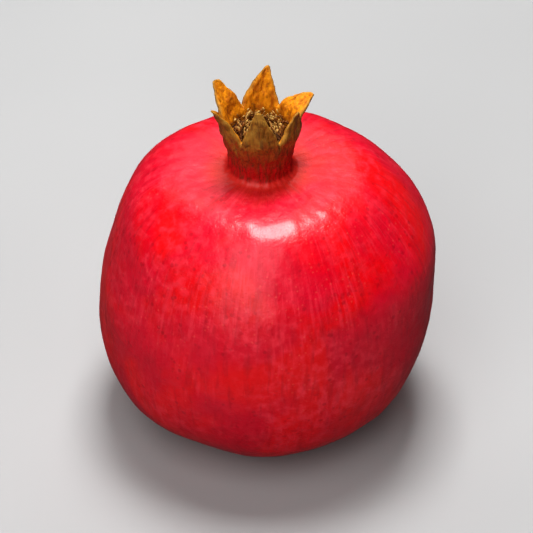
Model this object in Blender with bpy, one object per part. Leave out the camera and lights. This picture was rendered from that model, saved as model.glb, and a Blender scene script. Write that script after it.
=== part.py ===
"""A whole pomegranate standing on its base, crown up.

Four pieces: the fruit, whose leathery rind runs on into the crown as one grown body, the dried
stamens and the dried style inside the crown, and the clipped stem in its pit under the base.
Metres, +Z up. The origin is on the resting plane, under the middle of the fruit.
"""

import math

import bmesh
import bpy
from mathutils import Vector

MM = 0.001
AROUND = 48  # faces round the fruit; a multiple of the number of sepals
GAP = 0.3 * MM  # between pieces that touch
SAME = 0.01 * MM  # points nearer than this are one point

# Body
BODY_RADIUS = 47.5 * MM
WIDEST_HEIGHT = 40.5 * MM  # the widest ring above the resting plane
SHOULDER_RISE = 47.8 * MM  # from the widest ring up to the shoulder's curve on the axis, undipped
SHOULDER_DIP = 4.0 * MM  # how far the shoulder flattens round the crown's foot
DIP_RADIUS = 33.0 * MM  # where that flattening starts
LOWER_FULLNESS = 2.25  # superellipse exponents: 2 is a circle, more is squarer
UPPER_FULLNESS = 2.42
LOWER_ROWS = 14
UPPER_ROWS = 18

# How the body departs from a turned shape, as shares of its radius
SHOULDER_RIDGE = 0.011  # soft ridges below the sepals, which fade at the widest ring
BASE_RIDGE = 0.016
FULLER_SHOULDER = 0.042  # the shoulder stands out more towards +X than towards -X
FULLER_BASE = 0.03  # and the base more towards -X

# Base: a flat resting ring round a small pit
FOOT_RADIUS = 14.0 * MM
PIT_SLOPE_WIDTH = 2.4 * MM  # from the pit's floor out to the resting ring
PIT_DEPTH = 3.2 * MM
PIT_ROWS = 4

# Crown tube
NECK_RADIUS = 8.8 * MM
NECK_FILLET = 2.6 * MM
TUBE_HEIGHT = 14.4 * MM  # from the shoulder to the notches between the sepals
RIM_RADIUS = 11.3 * MM
RIM_WALL = 1.9 * MM
TUBE_FLARE = 1.6  # 1 opens evenly, more opens mostly near the rim
TUBE_ROWS = 5
CUP_DEPTH = 11.0 * MM
CUP_FLOOR_FILLET = 2.0 * MM
CROWN_SHIFT = -1.7 * MM  # the crown has grown this far off the body's axis, along X

# Sepals, anticlockwise from the one that points away from the front (+Y):
# bearing, length, lean outwards at the foot, further lean gained by the tip, sideways bend, tip width
SEPALS = (
    (90.0, 11.2 * MM, 10.0, 8.0, -22.0, 0.9 * MM),
    (150.0, 10.6 * MM, 16.0, 22.0, -4.0, 2.6 * MM),
    (210.0, 12.8 * MM, 18.0, 16.0, 8.0, 0.9 * MM),
    (270.0, 11.6 * MM, 0.0, -8.0, -7.0, 1.0 * MM),
    (330.0, 8.2 * MM, 4.0, 2.0, 10.0, 1.8 * MM),
    (30.0, 8.4 * MM, 46.0, 34.0, 6.0, 0.9 * MM),
)
SEPAL_STEPS = 7
SEPAL_TAPER = 1.25  # 1 is a straight-sided triangle, more has fuller sides
SEPAL_TIP_THICKNESS = 0.6 * MM
SEPAL_FLATTENING = 0.55  # share of the rim's curve that a sepal has lost at its tip
LEAN_STARTS = -0.15  # shares of a sepal's length between which it takes on its lean
LEAN_ENDS = 0.25
MIDLINE_STEPS = 12

# Stamens: a low collar inside the crown that carries the filaments
STAMEN_COUNT = 16
COLLAR_HEIGHT = 1.4 * MM
COLLAR_WALL = 1.1 * MM
COLLAR_DROP = 4.6 * MM  # the collar's top below the notches
FILAMENT_HEIGHT = 6.2 * MM
FILAMENT_STEPS = 4
FILAMENT_TIP_SHARE = 0.5  # the tip's width against the foot's
STAMEN_CLEARANCE = 2.2 * MM  # from the innermost filament's tip to the style's head

# Style: one bent stalk with a small head, on the floor of the crown
STYLE_RADIUS = 0.55 * MM
STYLE_HEAD_RADIUS = 0.95 * MM
STYLE_HEIGHT = 8.6 * MM
STYLE_BEND = 1.2 * MM
STYLE_HEAD_STARTS = 0.6  # shares of the style's height where its head starts and is widest
STYLE_HEAD_WIDEST = 0.85
STYLE_TOP_SHARE = 0.4  # the top's width against the head's
STYLE_SIDES = 10
STYLE_ROWS = 7

# Stem
STEM_RADIUS = 2.7 * MM
STEM_SIDE_GAP = 0.4 * MM  # between the stem and the foot of the pit's slope
STEM_CLEARANCE = 0.6 * MM  # its cut end above the resting plane
STEM_CUT_SHARE = 0.88  # the cut end's radius against the grown end's
STEM_BEVEL = 0.35 * MM
STEM_SIDES = 20

PIT_FLOOR_RADIUS = STEM_RADIUS + STEM_SIDE_GAP
PIT_RADIUS = PIT_FLOOR_RADIUS + PIT_SLOPE_WIDTH
SHOULDER_SEAM = NECK_RADIUS + NECK_FILLET  # radius where the shoulder turns up into the crown
RIM_MIDDLE = RIM_RADIUS - RIM_WALL / 2
HALF_SECTOR = math.pi / len(SEPALS)

RIND_RED = (0.62, 0.012, 0.03, 1.0)
STAMEN_BROWN = (0.36, 0.19, 0.07, 1.0)
STYLE_BROWN = (0.30, 0.16, 0.06, 1.0)
STEM_BROWN = (0.20, 0.12, 0.06, 1.0)
CREASE_ANGLE = 40  # degrees; edges sharper than this are shaded as creases


def smooth_share(value, low, high):
    """0 below low, 1 above high, with an easy curve between them."""
    share = min(1.0, max(0.0, (value - low) / (high - low)))
    return share * share * (3 - 2 * share)


def shoulder_height(radius):
    """Height of the shoulder's surface at this distance from the axis."""
    share = 1 - (radius / BODY_RADIUS) ** UPPER_FULLNESS
    dip = SHOULDER_DIP * (1 - smooth_share(radius, SHOULDER_SEAM, DIP_RADIUS))
    return WIDEST_HEIGHT + SHOULDER_RISE * share ** (1 / UPPER_FULLNESS) - dip


CROWN_FOOT = shoulder_height(SHOULDER_SEAM)
RIM_HEIGHT = CROWN_FOOT + TUBE_HEIGHT
CUP_FLOOR = RIM_HEIGHT - CUP_DEPTH


def tube_radius(height):
    """Outer radius of the crown tube: narrowest above its fillet, opening towards the notches."""
    start = CROWN_FOOT + NECK_FILLET
    share = max(0.0, (height - start) / (RIM_HEIGHT - start))
    return NECK_RADIUS + (RIM_RADIUS - NECK_RADIUS) * share**TUBE_FLARE


def cup_radius(height):
    """Inner radius of the crown tube."""
    return tube_radius(height) - RIM_WALL


def base_points():
    """(radius, height) from the pit's middle over the resting ring out to the widest ring."""
    points = [(0.0, PIT_DEPTH)]
    for row in range(PIT_ROWS + 1):
        share = row / PIT_ROWS
        height = PIT_DEPTH * (1 + math.cos(math.pi * share)) / 2
        points.append((PIT_FLOOR_RADIUS + PIT_SLOPE_WIDTH * share, height))
    for row in range(LOWER_ROWS + 1):
        turn = math.pi / 2 * (1 - row / LOWER_ROWS)
        out = math.cos(turn) ** (2 / LOWER_FULLNESS)
        down = math.sin(turn) ** (2 / LOWER_FULLNESS)
        points.append((FOOT_RADIUS + (BODY_RADIUS - FOOT_RADIUS) * out, WIDEST_HEIGHT * (1 - down)))
    return points


def shoulder_points():
    """(radius, height) above the widest ring, up to where the crown's tube starts."""
    seam_turn = math.acos((SHOULDER_SEAM / BODY_RADIUS) ** (UPPER_FULLNESS / 2))
    points = []
    for row in range(1, UPPER_ROWS + 1):
        radius = BODY_RADIUS * math.cos(seam_turn * row / UPPER_ROWS) ** (2 / UPPER_FULLNESS)
        points.append((radius, shoulder_height(radius)))
    for degrees in (30, 60, 90):
        turn = math.radians(degrees)
        radius = SHOULDER_SEAM - NECK_FILLET * math.sin(turn)
        points.append((radius, CROWN_FOOT + NECK_FILLET * (1 - math.cos(turn))))
    return points


def crown_points():
    """(radius, height) up the tube's outside, over its rim, down its inside and across its floor."""
    tube_foot = CROWN_FOOT + NECK_FILLET
    points = []
    for row in range(1, TUBE_ROWS + 1):
        height = tube_foot + (RIM_HEIGHT - tube_foot) * row / TUBE_ROWS
        points.append((tube_radius(height), height))
    wall_foot = CUP_FLOOR + CUP_FLOOR_FILLET
    for row in range(TUBE_ROWS + 1):
        height = RIM_HEIGHT + (wall_foot - RIM_HEIGHT) * row / TUBE_ROWS
        points.append((cup_radius(height), height))
    for degrees in (45, 90):
        turn = math.radians(degrees)
        radius = cup_radius(wall_foot) - CUP_FLOOR_FILLET * (1 - math.cos(turn))
        points.append((radius, wall_foot - CUP_FLOOR_FILLET * math.sin(turn)))
    points.append((0.0, CUP_FLOOR))
    return points


def body_factor(bearing, height):
    """How far the body stands out here against a turned shape."""
    up = smooth_share(height, WIDEST_HEIGHT, CROWN_FOOT - NECK_FILLET)
    down = smooth_share(WIDEST_HEIGHT - height, 0, WIDEST_HEIGHT)
    fade = 1 - smooth_share(height, CROWN_FOOT - NECK_FILLET, CROWN_FOOT + NECK_FILLET)
    waves = math.cos(len(SEPALS) * (bearing - math.radians(SEPALS[0][0])))
    ridges = waves * (SHOULDER_RIDGE * up + BASE_RIDGE * down)
    swing = FULLER_SHOULDER * math.sin(math.pi * up) - FULLER_BASE * math.sin(math.pi * down)
    return 1 + fade * (ridges + swing * math.cos(bearing))


def spin_profile(bm, points, steps, closed=False):
    """Turns a profile round the Z axis; an open one ends on the axis, a closed one makes a ring."""
    line = [bm.verts.new((radius, 0, height)) for radius, height in points]
    ends = line[1:] + line[:1] if closed else line[1:]
    edges = [bm.edges.new(pair) for pair in zip(line, ends)]
    bmesh.ops.spin(
        bm,
        geom=line + edges,
        cent=(0, 0, 0),
        axis=(0, 0, 1),
        angle=math.tau,
        steps=steps,
        use_merge=True,
    )
    bmesh.ops.remove_doubles(bm, verts=bm.verts, dist=SAME)


def shape_body(bm):
    """Gives the turned body its ridges and its fuller side; the pit and the crown stay round."""
    for vert in bm.verts:
        radius = math.hypot(vert.co.x, vert.co.y)
        if radius > PIT_RADIUS + SAME and vert.co.z < CROWN_FOOT + NECK_FILLET:
            factor = body_factor(math.atan2(vert.co.y, vert.co.x), vert.co.z)
            vert.co.x *= factor
            vert.co.y *= factor


def shift_crown(bm):
    """Carries the crown, and less and less of the shoulder round it, off the body's axis."""
    for vert in bm.verts:
        if vert.co.z > WIDEST_HEIGHT:
            spread = math.hypot(vert.co.x, vert.co.y) if vert.co.z < CROWN_FOOT else 0.0
            vert.co.x += CROWN_SHIFT * (1 - smooth_share(spread, SHOULDER_SEAM, DIP_RADIUS))


def turn_from(bearing, point):
    """Angle from a bearing to a point round the axis, between -pi and pi."""
    angle = math.atan2(point.y, point.x) - bearing
    return math.atan2(math.sin(angle), math.cos(angle))


def sepal_lean(sepal, share):
    """A sepal's lean outwards, in radians, at this share of its length."""
    return math.radians(sepal[2] * smooth_share(share, LEAN_STARTS, LEAN_ENDS) + sepal[3] * share)


def sepal_midline(sepal, share):
    """(radius, height, sideways) of a sepal's middle at this share of its length."""
    length, bend = sepal[1], sepal[4]
    radius, height, sideways = RIM_MIDDLE, RIM_HEIGHT, 0.0
    piece = length * share / MIDLINE_STEPS
    for step in range(MIDLINE_STEPS):
        here = share * (step + 0.5) / MIDLINE_STEPS
        lean = sepal_lean(sepal, here)
        radius += math.sin(lean) * piece
        height += math.cos(lean) * piece
        sideways += math.sin(math.radians(bend * here)) * piece
    return radius, height, sideways


def sepal_point(sepal, across, outer, share):
    """A point of a sepal: across from -1 to 1, outer 0 or 1, share 0 at the notches and 1 at the tip."""
    radius, height, sideways = sepal_midline(sepal, share)
    lean = sepal_lean(sepal, share)
    foot_width = math.sin(HALF_SECTOR) * RIM_MIDDLE
    width = foot_width * (1 - share**SEPAL_TAPER) + sepal[5] / 2 * share
    curve = (1 - SEPAL_FLATTENING * share) * width / foot_width
    hollow = RIM_MIDDLE * (1 - math.cos(HALF_SECTOR * across)) * curve
    thickness = RIM_WALL + (SEPAL_TIP_THICKNESS - RIM_WALL) * smooth_share(share, 0, 1)
    out = (outer - 0.5) * thickness - hollow
    radius += out * math.cos(lean)
    height -= out * math.sin(lean)
    sideways += width * math.sin(HALF_SECTOR * across) / math.sin(HALF_SECTOR)
    bearing = math.radians(sepal[0])
    forward = Vector((math.cos(bearing), math.sin(bearing), 0))
    left = Vector((-forward.y, forward.x, 0))
    return forward * radius + left * sideways + Vector((0, 0, height))


def grow_sepal(bm, sepal, across, outer):
    """Extrudes the rim's faces in this sepal's sector, step by step, to its tip."""
    bearing = math.radians(sepal[0])
    region = [
        face
        for face in bm.faces
        if all(abs(vert.co.z - RIM_HEIGHT) < SAME for vert in face.verts)
        and abs(turn_from(bearing, face.calc_center_median())) < HALF_SECTOR
    ]
    for step in range(1, SEPAL_STEPS + 1):
        made = bmesh.ops.extrude_face_region(bm, geom=region)["geom"]
        bmesh.ops.delete(bm, geom=[face for face in region if face.is_valid], context="FACES_ONLY")
        verts = [item for item in made if isinstance(item, bmesh.types.BMVert)]
        region = [item for item in made if isinstance(item, bmesh.types.BMFace)]
        if step == 1:
            for vert in verts:
                vert[across] = turn_from(bearing, vert.co) / HALF_SECTOR
                vert[outer] = float(math.hypot(vert.co.x, vert.co.y) > RIM_MIDDLE)
        for vert in verts:
            vert.co = sepal_point(sepal, vert[across], vert[outer], step / SEPAL_STEPS)


def make_fruit():
    """Body, crown tube and sepals as one grown solid."""
    bm = bmesh.new()
    across = bm.verts.layers.float.new("across")
    outer = bm.verts.layers.float.new("outer")
    spin_profile(bm, base_points() + shoulder_points() + crown_points(), AROUND)
    shape_body(bm)
    for sepal in SEPALS:
        grow_sepal(bm, sepal, across, outer)
    shift_crown(bm)
    return bm


def grow_filament(bm, foot, index):
    """Extrudes one filament from its foot, curving in over the cup, each a little differently."""
    start = foot.calc_center_median()
    inward = Vector((-start.x, -start.y, 0))
    room = inward.length - (STYLE_BEND + STYLE_HEAD_RADIUS + STAMEN_CLEARANCE)
    travel = room * (0.75 + 0.25 * math.cos(2.4 * index))
    height = FILAMENT_HEIGHT * (0.86 + 0.14 * math.sin(1.7 * index))
    shrink = FILAMENT_TIP_SHARE ** (1 / FILAMENT_STEPS)
    inward.normalize()
    faces = [foot]
    for step in range(1, FILAMENT_STEPS + 1):
        share = step / FILAMENT_STEPS
        faces = bmesh.ops.extrude_discrete_faces(bm, faces=faces)["faces"]
        old = faces[0].calc_center_median()
        new = start + inward * travel * share**2 + Vector((0, 0, height * share))
        for vert in faces[0].verts:
            vert.co = new + (vert.co - old) * shrink


def make_stamens():
    """A collar just inside the crown's wall, with a filament grown from every other top face."""
    bm = bmesh.new()
    top = RIM_HEIGHT - COLLAR_DROP
    bottom = top - COLLAR_HEIGHT
    outside = cup_radius(bottom) * math.cos(math.pi / AROUND) - GAP
    inside = outside - COLLAR_WALL
    corners = ((inside, bottom), (outside, bottom), (outside, top), (inside, top))
    spin_profile(bm, corners, 2 * STAMEN_COUNT, closed=True)
    feet = [face for face in bm.faces if all(abs(vert.co.z - top) < SAME for vert in face.verts)]
    feet.sort(key=lambda face: turn_from(0, face.calc_center_median()))
    for index, foot in enumerate(feet[::2]):
        grow_filament(bm, foot, index)
    shift_crown(bm)
    return bm


def style_radius(share):
    """The style's radius at this share of its height."""
    head = smooth_share(share, STYLE_HEAD_STARTS, STYLE_HEAD_WIDEST)
    closing = 1 - (1 - STYLE_TOP_SHARE) * smooth_share(share, STYLE_HEAD_WIDEST, 1)
    return (STYLE_RADIUS + (STYLE_HEAD_RADIUS - STYLE_RADIUS) * head) * closing


def make_style():
    """A thin turned stalk with a small head, bent to one side."""
    bm = bmesh.new()
    foot = CUP_FLOOR + GAP
    points = [(0.0, foot)]
    for row in range(STYLE_ROWS + 1):
        share = row / STYLE_ROWS
        points.append((style_radius(share), foot + STYLE_HEIGHT * share))
    points.append((0.0, foot + STYLE_HEIGHT))
    spin_profile(bm, points, STYLE_SIDES)
    for vert in bm.verts:
        vert.co.x += STYLE_BEND * ((vert.co.z - foot) / STYLE_HEIGHT) ** 2
    shift_crown(bm)
    return bm


def make_stem():
    """The clipped stem: a short plug that widens a little towards where it grows into the pit."""
    bm = bmesh.new()
    height = PIT_DEPTH - GAP - STEM_CLEARANCE
    bmesh.ops.create_cone(
        bm,
        cap_ends=True,
        segments=STEM_SIDES,
        radius1=STEM_RADIUS * STEM_CUT_SHARE,
        radius2=STEM_RADIUS,
        depth=height,
    )
    bmesh.ops.translate(bm, verts=bm.verts, vec=(0, 0, STEM_CLEARANCE + height / 2))
    return bm


def finish(bm, name, colour, roughness):
    """Turns a bmesh into a named, shaded, coloured object in the scene."""
    bmesh.ops.recalc_face_normals(bm, faces=bm.faces)
    mesh = bpy.data.meshes.new(name)
    bm.to_mesh(mesh)
    bm.free()
    mesh.shade_smooth()
    mesh.set_sharp_from_angle(angle=math.radians(CREASE_ANGLE))
    material = bpy.data.materials.new(name)
    material.use_nodes = True
    surface = material.node_tree.nodes["Principled BSDF"]
    surface.inputs["Base Color"].default_value = colour
    surface.inputs["Roughness"].default_value = roughness
    surface.inputs["Metallic"].default_value = 0.0
    mesh.materials.append(material)
    made = bpy.data.objects.new(name, mesh)
    bpy.context.scene.collection.objects.link(made)
    return made


def main():
    """Clears the scene and makes the four pieces."""
    for old in list(bpy.data.objects):
        bpy.data.objects.remove(old)
    finish(make_fruit(), "fruit", RIND_RED, 0.35)
    finish(make_stamens(), "stamens", STAMEN_BROWN, 0.8)
    finish(make_style(), "style", STYLE_BROWN, 0.8)
    stem = finish(make_stem(), "stem", STEM_BROWN, 0.9)
    bevel = stem.modifiers.new("worn edges", "BEVEL")
    bevel.width = STEM_BEVEL
    bevel.segments = 2


main()
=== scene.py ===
"""Looks of a whole pomegranate that stands on its base, crown up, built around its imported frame.

Four pieces, each a numpy surface that replaces its CAD node: the fruit, whose rind runs on into the
crown as one skin, the dried stamens and the dried style in the crown, and the clipped stem in its
pit under the base. Metres, +Z up, the front towards -Y, the origin on the resting plane.
"""

import logging
import math
from dataclasses import dataclass, field
from enum import Enum
from typing import ClassVar

import bpy
import numpy as np
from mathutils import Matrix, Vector


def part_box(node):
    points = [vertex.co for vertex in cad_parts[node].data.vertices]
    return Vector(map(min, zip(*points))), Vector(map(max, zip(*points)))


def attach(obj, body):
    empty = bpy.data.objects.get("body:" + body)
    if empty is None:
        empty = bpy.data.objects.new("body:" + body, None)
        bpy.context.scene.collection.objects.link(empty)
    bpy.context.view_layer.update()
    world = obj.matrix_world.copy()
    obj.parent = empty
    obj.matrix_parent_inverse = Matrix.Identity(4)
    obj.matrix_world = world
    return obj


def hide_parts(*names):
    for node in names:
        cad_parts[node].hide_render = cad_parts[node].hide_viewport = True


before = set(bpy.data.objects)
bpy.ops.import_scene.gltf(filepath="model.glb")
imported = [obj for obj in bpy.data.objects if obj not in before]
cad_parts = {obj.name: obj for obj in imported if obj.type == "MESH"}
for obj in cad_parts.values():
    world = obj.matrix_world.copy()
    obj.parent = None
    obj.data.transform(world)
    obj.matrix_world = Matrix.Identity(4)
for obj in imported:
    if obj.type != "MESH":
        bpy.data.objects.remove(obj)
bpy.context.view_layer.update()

log = logging.getLogger("pomegranate")
MM = 0.001
BODY = "root"
CROWN_SHIFT = -1.7 * MM  # of the crown's middle, sideways off the body's axis
Array = np.ndarray
Colour = tuple[float, float, float]
Socket = bpy.types.NodeSocket
Feed = Socket | float | tuple
BLUSH: Colour = (0.92, 0.045, 0.078)
DEEP: Colour = (0.33, 0.0001, 0.010)
OLIVE: Colour = (0.25, 0.088, 0.004)
DRY: Colour = (0.56, 0.29, 0.045)
FILAMENT: Colour = (0.34, 0.135, 0.025)
CHARRED: Colour = (0.07, 0.025, 0.008)
CRACKED: Colour = (0.035, 0.018, 0.010)
PITH: Colour = (0.20, 0.12, 0.05)
GOLDEN_TURN = 2.399963  # radians, spreads the stamens evenly round the cup


class Slot(Enum):
    """The record's material slots."""

    RIND = "rind"
    STAMENS = "stamens"
    STYLE = "style"
    STEM = "stem"


class Work(Enum):
    """What a Math or Vector Math node does to its inputs."""

    ADD = "ADD"
    MULTIPLY = "MULTIPLY"
    SINE = "SINE"
    NORMALIZE = "NORMALIZE"
    LENGTH = "LENGTH"


def ease(value: Array | float, low: float, high: float) -> Array:
    """Gives an easy step: 0 below low, 1 above high, and 3s^2 - 2s^3 of the share s between them.

    Args:
        value: What is compared with the two limits.
        low: Where the step starts.
        high: Where the step ends.

    Returns:
        The step's height at each value, from 0 to 1.
    """
    share = np.clip((np.asarray(value, float) - low) / (high - low), 0.0, 1.0)
    return share * share * (3.0 - 2.0 * share)


def unit(vectors: Array) -> Array:
    """Gives the vectors with length 1; their last axis holds x, y and z."""
    return vectors / np.maximum(np.linalg.norm(vectors, axis=-1, keepdims=True), 1e-12)


def lathed(radius: Array | float, bearing: Array, height: Array | float) -> Array:
    """Gives the points (radius cos bearing, radius sin bearing, height)."""
    parts = (radius * np.cos(bearing), radius * np.sin(bearing), height)
    return np.stack(np.broadcast_arrays(*parts), axis=-1)


@dataclass(frozen=True)
class Lumps:
    """Smooth irregularity in space: a sum of sine waves that run in seeded random directions."""

    seed: int
    wavelength: float  # typical distance from one lump to the next
    height: float = 1.0  # root of the mean square
    waves: int = 16

    def at(self, points: Array) -> Array:
        """Adds the waves at each point: height times the root of 2/n times the sum of sin(k.p + phase).

        Args:
            points: Points, x, y and z on the last axis.

        Returns:
            One number per point, about -2 to 2 times the height.
        """
        draw = np.random.default_rng(self.seed)
        lengths = self.wavelength * draw.uniform(0.7, 1.6, size=(self.waves, 1))
        vectors = unit(draw.normal(size=(self.waves, 3))) * math.tau / lengths
        phases = draw.uniform(0.0, math.tau, size=self.waves)
        total = np.sin(points @ vectors.T + phases).sum(axis=-1)
        return self.height * math.sqrt(2.0 / self.waves) * total


@dataclass(frozen=True)
class Ridges:
    """Ridges that run up the fruit: a cosine of a number of times the bearing, which may wander."""

    number: float
    height: float
    wander: float

    def at(self, bearing: Array, drift: Array) -> Array:
        """Gives height times cos(number times bearing + wander times drift)."""
        return self.height * np.cos(self.number * bearing + self.wander * drift)


def closed_skin(name: str, rings: Array, start: Array, end: Array) -> bpy.types.Object:
    """Makes one mesh of tubes of rings, each closed by a fan of triangles round a pole at both ends.

    Faces point outwards when a ring runs anticlockwise, seen against the way that the rings advance.

    Args:
        name: Name of the object and of its mesh.
        rings: Points of shape (tubes, rings, sides, 3).
        start: The pole before each tube's first ring, shape (tubes, 3).
        end: The pole after each tube's last ring, shape (tubes, 3).

    Returns:
        The object, linked to the scene, at the origin.
    """
    tubes, rows, sides, _ = rings.shape
    body = np.arange(tubes * rows * sides).reshape(tubes, rows, sides)
    beside = np.roll(body, -1, axis=2)
    quads = np.stack([body[:, :-1], beside[:, :-1], beside[:, 1:], body[:, 1:]], axis=-1)
    first = np.broadcast_to(body.size + np.arange(tubes)[:, None], (tubes, sides))
    last = first + tubes
    fans = np.concatenate(
        [
            np.stack([first, beside[:, 0], body[:, 0]], axis=-1),
            np.stack([body[:, -1], beside[:, -1], last], axis=-1),
        ]
    )
    mesh = bpy.data.meshes.new(name)
    points = np.concatenate([rings.reshape(-1, 3), start.reshape(-1, 3), end.reshape(-1, 3)])
    faces = quads.reshape(-1, 4).tolist() + fans.reshape(-1, 3).tolist()
    mesh.from_pydata(points.tolist(), [], faces)
    mesh.shade_smooth()
    made = bpy.data.objects.new(name, mesh)
    bpy.context.scene.collection.objects.link(made)
    return made


def mark(piece: bpy.types.Object, name: str, rings: Array, start: float, end: float) -> None:
    """Stores a number per vertex as a mesh attribute, which the piece's finish reads.

    Args:
        piece: A piece made by closed_skin.
        name: The attribute's name.
        rings: Its values on the rings, shape (tubes, rings, sides) or one that spreads to it.
        start: Its value at the start poles.
        end: Its value at the end poles.
    """
    total = len(piece.data.vertices)
    values = np.full(total, end, np.float32)
    flat = np.asarray(rings, np.float32).reshape(-1)
    values[: flat.size] = flat
    poles = (total - flat.size) // 2
    values[flat.size : flat.size + poles] = start
    piece.data.attributes.new(name, "FLOAT", "POINT").data.foreach_set("value", values)


def carried_rings(paths: Array, radii: Array, across: Array, sides: int) -> Array:
    """Carries a round profile along curved paths.

    Each ring stands square to its path: its point at the angle a is path + radius (p cos a + q sin a),
    with p square to the path and to the across direction, and q square to both, so that p x q runs
    along the path.

    Args:
        paths: Points of the paths, shape (tubes, rings, 3).
        radii: Radius of each ring, shape (tubes, rings) or (tubes, rings, sides).
        across: One direction per tube that its path never runs along, shape (tubes, 3).
        sides: Points in a ring.

    Returns:
        Points of shape (tubes, rings, sides, 3).
    """
    along = unit(np.gradient(paths, axis=1))
    first = unit(np.cross(along, across[:, None, :]))
    second = np.cross(along, first)
    turn = np.arange(sides) * math.tau / sides
    radii = radii[..., None] if radii.ndim == 2 else radii
    circle = first[:, :, None] * np.cos(turn)[:, None] + second[:, :, None] * np.sin(turn)[:, None]
    return paths[:, :, None] + radii[..., None] * circle


@dataclass(frozen=True)
class Layer:
    """A layer of colour whose cover eases from start to end as a number goes from low to high."""

    low: float
    high: float
    start: float
    end: float
    colour: Colour


class Graph:
    """The node tree of one finish, with one short method for each kind of node that it needs."""

    def __init__(self, name: str) -> None:
        """Starts a material whose surface is a Principled BSDF."""
        self.material = bpy.data.materials.new(name)
        self.material.use_nodes = True
        self.tree = self.material.node_tree
        self.surface = self.tree.nodes["Principled BSDF"]
        self.place = self.tree.nodes.new("ShaderNodeTexCoord").outputs["Object"]

    def feed(self, socket: Socket, value: Feed) -> None:
        """Links a socket into another, or sets its value."""
        if isinstance(value, Socket):
            self.tree.links.new(value, socket)
        elif isinstance(value, tuple) and socket.type == "RGBA":
            socket.default_value = (*value, 1.0)
        else:
            socket.default_value = value

    def node(self, kind: str, feeds: dict, **settings) -> bpy.types.Node:
        """Adds a node.

        Args:
            kind: Its type, without the word ShaderNode.
            feeds: What goes into its sockets, by name or by number.
            settings: Its other properties.

        Returns:
            The node.
        """
        made = self.tree.nodes.new("ShaderNode" + kind)
        for name, value in settings.items():
            setattr(made, name, value)
        for key, value in feeds.items():
            self.feed(made.inputs[key], value)
        return made

    def shader(self, **feeds: Feed) -> None:
        """Feeds the surface's sockets, named with underscores for spaces."""
        for name, value in feeds.items():
            self.feed(self.surface.inputs[name.replace("_", " ")], value)

    def attribute(self, name: str) -> Socket:
        """Reads one of the mesh's own attributes."""
        return self.node("Attribute", {}, attribute_name=name).outputs["Fac"]

    def maths(self, work: Work, first: Feed, second: Feed = 0.0) -> Socket:
        """Works on one or two numbers."""
        return self.node("Math", {0: first, 1: second}, operation=work.value).outputs[0]

    def times(self, first: Feed, second: Feed) -> Socket:
        """Multiplies two numbers."""
        return self.maths(Work.MULTIPLY, first, second)

    def plus(self, first: Feed, second: Feed) -> Socket:
        """Adds two numbers."""
        return self.maths(Work.ADD, first, second)

    def blurred(self, value: Feed, noise: Feed, amount: float) -> Socket:
        """Adds an amount of a noise, less its middle value of a half, to a number."""
        return self.plus(value, self.times(self.plus(noise, -0.5), amount))

    def vector(self, work: Work, first: Feed, second: Feed = (0.0, 0.0, 0.0)) -> Socket:
        """Works on one or two vectors; a length is a number, and the rest are vectors."""
        made = self.node("VectorMath", {0: first, 1: second}, operation=work.value)
        return made.outputs["Value" if work is Work.LENGTH else "Vector"]

    def height(self) -> Socket:
        """Reads the height above the resting plane."""
        return self.node("SeparateXYZ", {0: self.place}).outputs["Z"]

    def step(
        self, value: Feed, low: float, high: float, start: float = 0.0, end: float = 1.0
    ) -> Socket:
        """Gives an easy step from start to end as the value goes from low to high.

        Args:
            value: What is compared with the limits.
            low: Where the step starts.
            high: Where the step ends.
            start: The result below low.
            end: The result above high.

        Returns:
            The step's height.
        """
        feeds = {"Value": value, "From Min": low, "From Max": high, "To Min": start, "To Max": end}
        return self.node("MapRange", feeds, interpolation_type="SMOOTHSTEP").outputs["Result"]

    def mix(self, share: Feed, first: Feed, second: Feed) -> Socket:
        """Joins two colours: the first where the share is 0, the second where it is 1."""
        return self.node("Mix", {0: share, 6: first, 7: second}, data_type="RGBA").outputs[2]

    def layer(self, under: Feed, value: Feed, layer: Layer, share: Feed | None = None) -> Socket:
        """Lays a layer of colour over another colour.

        Args:
            under: The colour under it.
            value: The number that its cover follows.
            layer: Its limits, its cover and its colour.
            share: Thins it where this is under 1.

        Returns:
            The colour.
        """
        cover = self.step(value, layer.low, layer.high, layer.start, layer.end)
        if share is not None:
            cover = self.times(cover, share)
        return self.mix(cover, under, layer.colour)

    def noise(
        self, scale: float, detail: float = 2.0, place: Feed | None = None, twist: float = 0.0
    ) -> Socket:
        """Reads cloudy noise.

        Args:
            scale: Clouds per metre, or per unit of the place.
            detail: How many finer layers are added.
            place: Where it is read; the object's own coordinates if none is given.
            twist: How much the clouds are distorted.

        Returns:
            A number of about 0.2 to 0.8.
        """
        feeds = {"Scale": scale, "Detail": detail, "Distortion": twist, "Vector": place or self.place}
        return self.node("TexNoise", feeds).outputs["Fac"]

    def cells(self, scale: float) -> Socket:
        """Reads the distance to the nearest of a field of scattered points, in cells."""
        return self.node("TexVoronoi", {"Scale": scale, "Vector": self.place}).outputs["Distance"]

    def fibres(self, across: float, along: float, detail: float = 3.0, twist: float = 0.0) -> Socket:
        """Reads noise drawn out upwards, as fine as across per metre sideways and along upwards."""
        place = self.node("Mapping", {"Vector": self.place, "Scale": (across, across, along)})
        return self.noise(1.0, detail, place.outputs[0], twist)

    def bump(self, height: Feed, distance: float, strength: float) -> None:
        """Raises the surface's shading by a height map."""
        feeds = {"Height": height, "Distance": distance, "Strength": strength}
        self.shader(Normal=self.node("Bump", feeds).outputs[0])


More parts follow.
